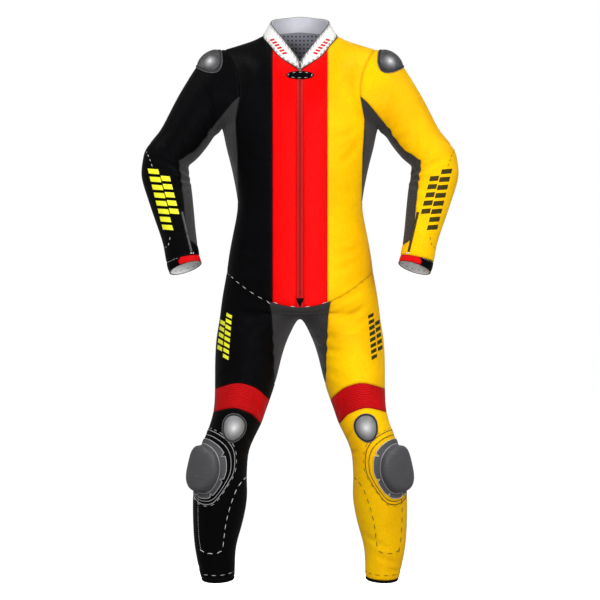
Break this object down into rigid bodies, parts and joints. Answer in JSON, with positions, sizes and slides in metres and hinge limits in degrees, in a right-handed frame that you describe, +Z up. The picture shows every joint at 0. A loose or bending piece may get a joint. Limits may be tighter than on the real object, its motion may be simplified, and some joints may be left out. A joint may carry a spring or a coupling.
{
  "type": "motorcycle race suit",
  "caption": "Full-length leather race suit in its worn form, empty: stand-up collar, front zip, stretch panels, shoulder and knee caps, knee sliders, open cuffs and hems.",
  "frame": {"origin": "middle of the neck, at the level where the shoulders carry the suit", "axes": "+X to the wearer's left, -Y to the front, +Z up"},
  "size_m": [0.836, 0.2929, 1.5016],
  "materials": {
    "black_leather": "smooth cowhide, light gloss",
    "red_leather": "smooth cowhide, light gloss",
    "yellow_leather": "smooth cowhide, light gloss",
    "white_leather": "smooth cowhide, light gloss",
    "stretch_cloth": "ribbed stretch cloth, matt",
    "ribbed_leather": "pleated leather over elastic",
    "grey_facing": "brushed knit, matt",
    "mesh_lining": "open mesh, matt",
    "zip_tape": "woven tape with moulded teeth",
    "gunmetal": "dark satin metal",
    "silver_metal": "satin metal",
    "hook_plastic": "matt hook plate",
    "puck_plastic": "satin moulded plastic"
  },
  "bodies": {
    "root": {"back_centre": "red_leather", "back_lining": "mesh_lining", "back_side_L": "yellow_leather", "back_side_R": "black_leather", "collar": "white_leather", "collar_facing": "grey_facing", "crotch": "stretch_cloth", "cuff_inner_L": "red_leather", "cuff_inner_R": "red_leather", "cuff_lining_L": "grey_facing", "cuff_lining_R": "grey_facing", "cuff_outer_L": "black_leather", "cuff_outer_R": "black_leather", "front_centre_L": "red_leather", "front_centre_R": "red_leather", "front_side_L": "yellow_leather", "front_side_R": "black_leather", "hem_L": "black_leather", "hem_R": "black_leather", "knee_band_L": "ribbed_leather", "knee_band_R": "ribbed_leather", "knee_cap_L": "silver_metal", "knee_cap_R": "silver_metal", "knee_rim_L": "gunmetal", "knee_rim_R": "gunmetal", "leg_back_L": "yellow_leather", "leg_back_R": "black_leather", "shin_front_L": "yellow_leather", "shin_front_R": "black_leather", "shoulder_cap_L": "gunmetal", "shoulder_cap_R": "gunmetal", "shoulder_rim_L": "gunmetal", "shoulder_rim_R": "gunmetal", "sleeve_L": "yellow_leather", "sleeve_R": "black_leather", "sleeve_zip_L": "zip_tape", "sleeve_zip_R": "zip_tape", "slider_base_L": "hook_plastic", "slider_base_R": "hook_plastic", "slider_patch_L": "yellow_leather", "slider_patch_R": "black_leather", "slider_puck_L": "puck_plastic", "slider_puck_R": "puck_plastic", "thigh_front_L": "yellow_leather", "thigh_front_R": "black_leather", "underarm_L": "stretch_cloth", "underarm_R": "stretch_cloth", "zip": "zip_tape", "zip_flap": "black_leather", "zip_tab": "black_leather"}
  },
  "joints": []
}
